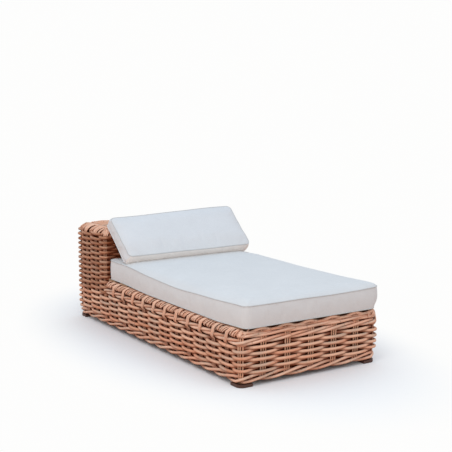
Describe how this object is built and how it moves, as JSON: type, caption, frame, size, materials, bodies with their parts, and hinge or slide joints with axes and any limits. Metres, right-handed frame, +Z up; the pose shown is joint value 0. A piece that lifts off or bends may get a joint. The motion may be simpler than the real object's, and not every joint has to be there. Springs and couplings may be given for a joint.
{
  "type": "sun lounger",
  "caption": "Free-standing sun lounger with a woven rattan base and headboard over a hardwood frame, a slatted deck, a boxed mattress and a leaning pillow.",
  "frame": {"origin": "on the floor under the middle of the lounger's overall box", "axes": "+Z up, +Y towards the headboard, +X across to the long side that is hidden in the picture"},
  "size_m": [0.97, 2, 0.7293],
  "materials": {
    "rattan": "satin",
    "hardwood": "satin",
    "slat_wood": "matte",
    "cover_fabric": "matte",
    "foam": "matte",
    "zip_metal": "satin"
  },
  "bodies": {
    "frame": {"pad_foot_left": "hardwood", "pad_foot_right": "hardwood", "pad_head_left": "hardwood", "pad_head_right": "hardwood", "post_foot_left": "hardwood", "post_foot_right": "hardwood", "post_head_back_left": "hardwood", "post_head_back_right": "hardwood", "post_head_front_left": "hardwood", "post_head_front_right": "hardwood", "post_mid_left": "hardwood", "post_mid_right": "hardwood", "rail_bottom_back": "hardwood", "rail_bottom_foot": "hardwood", "rail_bottom_left": "hardwood", "rail_bottom_right": "hardwood", "rail_head_bottom_left": "hardwood", "rail_head_bottom_right": "hardwood", "rail_head_top_back": "hardwood", "rail_head_top_front": "hardwood", "rail_head_top_left": "hardwood", "rail_head_top_right": "hardwood", "rail_seat_foot": "hardwood", "rail_seat_head": "hardwood", "rail_seat_left": "hardwood", "rail_seat_right": "hardwood", "slat_01": "slat_wood", "slat_02": "slat_wood", "slat_03": "slat_wood", "slat_04": "slat_wood", "slat_05": "slat_wood", "slat_06": "slat_wood", "slat_07": "slat_wood", "slat_08": "slat_wood", "slat_09": "slat_wood", "slat_10": "slat_wood", "woven_back": "rattan", "woven_cheek_left": "rattan", "woven_cheek_right": "rattan", "woven_foot_end": "rattan", "woven_head_cap": "rattan", "woven_head_front": "rattan", "woven_side_left": "rattan", "woven_side_right": "rattan"},
    "mattress": {"mattress_base_panel": "cover_fabric", "mattress_boxing_foot": "cover_fabric", "mattress_boxing_left": "cover_fabric", "mattress_boxing_right": "cover_fabric", "mattress_boxing_zip": "cover_fabric", "mattress_foam": "foam", "mattress_top_panel": "cover_fabric"},
    "pillow": {"pillow_back_panel": "cover_fabric", "pillow_boxing_base": "cover_fabric", "pillow_boxing_left": "cover_fabric", "pillow_boxing_right": "cover_fabric", "pillow_boxing_zip": "cover_fabric", "pillow_foam": "foam", "pillow_front_panel": "cover_fabric"},
    "mattress_zip": {"mattress_zip_slider": "zip_metal"},
    "pillow_zip": {"pillow_zip_slider": "zip_metal"}
  },
  "joints": [
    {"name": "mattress_lift", "type": "slide", "parent": "frame", "child": "mattress", "axis": [0, 0, 1], "range_m": [0, 0.4]},
    {"name": "pillow_lift", "type": "slide", "parent": "mattress", "child": "pillow", "axis": [0, 0, 1], "range_m": [0, 0.3]},
    {"name": "mattress_zip_run", "type": "slide", "parent": "mattress", "child": "mattress_zip", "axis": [1, 0, 0], "range_m": [0, 0.7]},
    {"name": "pillow_zip_run", "type": "slide", "parent": "pillow", "child": "pillow_zip", "axis": [1, 0, 0], "range_m": [0, 0.7]}
  ]
}
